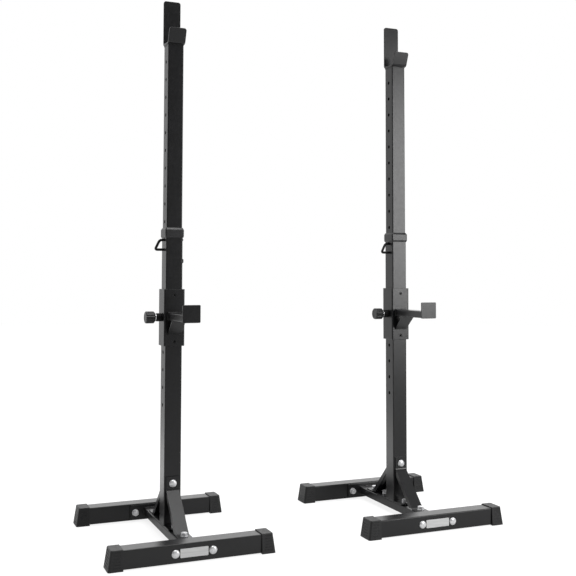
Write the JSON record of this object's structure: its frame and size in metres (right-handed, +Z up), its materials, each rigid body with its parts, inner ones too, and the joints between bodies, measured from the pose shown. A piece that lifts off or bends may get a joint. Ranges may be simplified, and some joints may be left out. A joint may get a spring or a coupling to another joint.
{
  "type": "squat stand",
  "caption": "Pair of free-standing black steel squat stands with height-adjustable bar hooks on top and sliding spring-pin bar catches, on H-shaped tube bases with rubber shoes.",
  "frame": {"origin": "on the floor, midway between the two stands and midway between their front and rear feet", "axes": "+Z up, +X to the right along the feet as seen from the front, +Y to the rear, away from the bar catches"},
  "size_m": [1.264, 0.546, 1.6485],
  "materials": {
    "paint": "semi-gloss black powder coat",
    "rubber": "matt",
    "plastic": "satin moulded black",
    "zinc": "bright zinc plate",
    "black_steel": "black oxide",
    "spring_steel": "bright wire"
  },
  "bodies": {
    "base": {"left_front_foot_tube": "paint", "left_rear_foot_tube": "paint", "left_front_left_shoe": "rubber", "left_front_right_shoe": "rubber", "left_rear_left_shoe": "rubber", "left_rear_right_shoe": "rubber", "left_front_foot_bolt_left": "zinc", "left_front_foot_bolt_right": "zinc", "left_rear_foot_bolt_left": "zinc", "left_rear_foot_bolt_right": "zinc", "left_cross_beam": "paint", "left_upright_tube": "paint", "left_front_brace": "paint", "left_rear_brace": "paint", "left_front_brace_bolt": "zinc", "left_rear_brace_bolt": "zinc", "left_front_base_bolt": "zinc", "left_rear_base_bolt": "zinc", "left_brace_through_bolt": "zinc", "left_side_screw": "black_steel", "left_collar": "plastic", "right_front_foot_tube": "paint", "right_rear_foot_tube": "paint", "right_front_left_shoe": "rubber", "right_front_right_shoe": "rubber", "right_rear_left_shoe": "rubber", "right_rear_right_shoe": "rubber", "right_front_foot_bolt_left": "zinc", "right_front_foot_bolt_right": "zinc", "right_rear_foot_bolt_left": "zinc", "right_rear_foot_bolt_right": "zinc", "right_cross_beam": "paint", "right_upright_tube": "paint", "right_front_brace": "paint", "right_rear_brace": "paint", "right_front_brace_bolt": "zinc", "right_rear_brace_bolt": "zinc", "right_front_base_bolt": "zinc", "right_rear_base_bolt": "zinc", "right_brace_through_bolt": "zinc", "right_side_screw": "black_steel", "right_collar": "plastic"},
    "left_mast": {"left_mast_tube": "paint", "left_bar_hook": "paint"},
    "right_mast": {"right_mast_tube": "paint", "right_bar_hook": "paint"},
    "left_carriage": {"left_carriage_sleeve": "paint", "left_carriage_liner": "plastic", "left_catch_arm": "paint", "left_pin_barrel": "black_steel"},
    "right_carriage": {"right_carriage_sleeve": "paint", "right_carriage_liner": "plastic", "right_catch_arm": "paint", "right_pin_barrel": "black_steel"},
    "left_lock": {"left_lock_pin": "black_steel"},
    "right_lock": {"right_lock_pin": "black_steel"},
    "left_plunger": {"left_pull_knob": "plastic", "left_plunger_spring": "spring_steel"},
    "right_plunger": {"right_pull_knob": "plastic", "right_plunger_spring": "spring_steel"}
  },
  "joints": [
    {"name": "left_mast_slide", "type": "slide", "parent": "base", "child": "left_mast", "axis": [0, 0, 1], "range_m": [-0.55, 0.11]},
    {"name": "right_mast_slide", "type": "slide", "parent": "base", "child": "right_mast", "axis": [0, 0, 1], "range_m": [-0.55, 0.11]},
    {"name": "left_carriage_slide", "type": "slide", "parent": "base", "child": "left_carriage", "axis": [0, 0, 1], "range_m": [-0.265, 0.053]},
    {"name": "right_carriage_slide", "type": "slide", "parent": "base", "child": "right_carriage", "axis": [0, 0, 1], "range_m": [-0.265, 0.053]},
    {"name": "left_lock_pull", "type": "slide", "parent": "base", "child": "left_lock", "axis": [-1, 0, 0], "range_m": [0, 0.072]},
    {"name": "right_lock_pull", "type": "slide", "parent": "base", "child": "right_lock", "axis": [-1, 0, 0], "range_m": [0, 0.072]},
    {"name": "left_knob_pull", "type": "slide", "parent": "left_carriage", "child": "left_plunger", "axis": [-1, 0, 0], "range_m": [0, 0.0055], "stiffness_N_per_m": 900, "springref_m": -0.008, "deforming": ["left_plunger_spring"]},
    {"name": "right_knob_pull", "type": "slide", "parent": "right_carriage", "child": "right_plunger", "axis": [-1, 0, 0], "range_m": [0, 0.0055], "stiffness_N_per_m": 900, "springref_m": -0.008, "deforming": ["right_plunger_spring"]}
  ]
}
